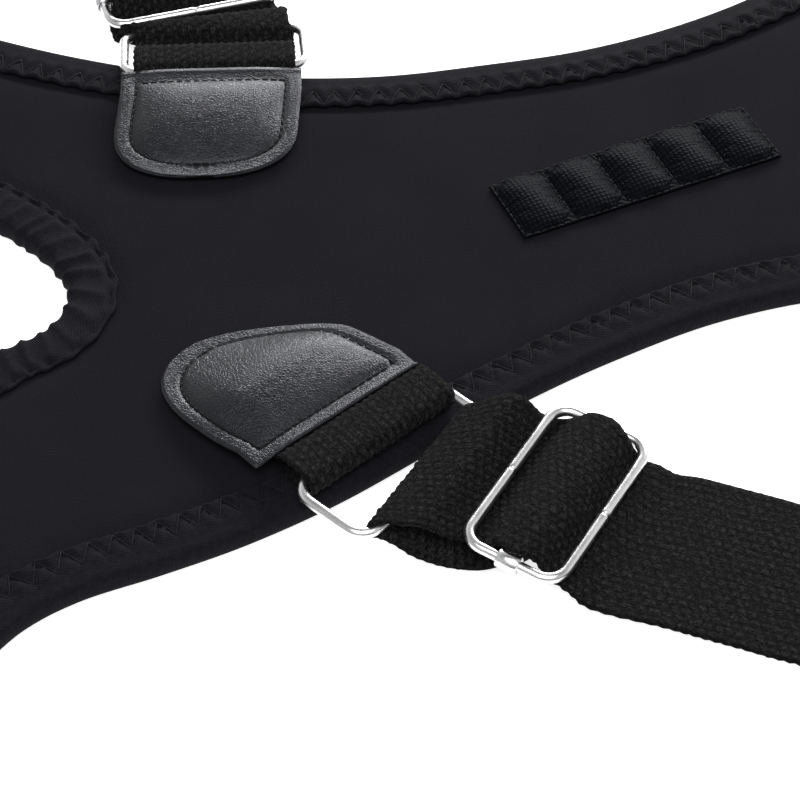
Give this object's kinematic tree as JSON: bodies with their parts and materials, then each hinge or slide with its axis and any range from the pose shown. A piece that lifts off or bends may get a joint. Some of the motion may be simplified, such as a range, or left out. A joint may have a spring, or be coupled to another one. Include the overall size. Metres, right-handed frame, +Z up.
{
  "type": "posture corrector",
  "caption": "Soft back brace laid flat: padded panel with shoulder arms and waist belt, webbing arm loops through wire rings and slide buckles, leather patches and a pocketed spine strip.",
  "frame": {"origin": "on the floor, under the middle of the whole part as it lies", "axes": "+X across the back to its right side as seen from above, +Y along the spine to the neck, +Z up out of the outer face"},
  "size_m": [0.86, 0.575, 0.0373],
  "materials": {
    "neoprene": "matte knit-faced foam",
    "binding_tape": "fine twill tape",
    "satin": "satin weave with a faint sheen",
    "hook_tape": "fine hooks, matte",
    "leather": "pebbled, soft gloss",
    "webbing": "coarse woven, fuzzy",
    "nickel": "polished nickel plate"
  },
  "bodies": {
    "root": {"back_panel": "neoprene", "edge_binding": "binding_tape", "neck_binding": "binding_tape", "pocket_strip": "satin", "hook_patch": "hook_tape", "patch_left": "leather", "ring_tab_left": "webbing", "ring_left": "nickel", "slider_frame_left": "nickel", "slider_bar_left": "nickel", "strap_left": "webbing", "patch_right": "leather", "ring_tab_right": "webbing", "ring_right": "nickel", "slider_frame_right": "nickel", "slider_bar_right": "nickel", "strap_right": "webbing"}
  },
  "joints": []
}
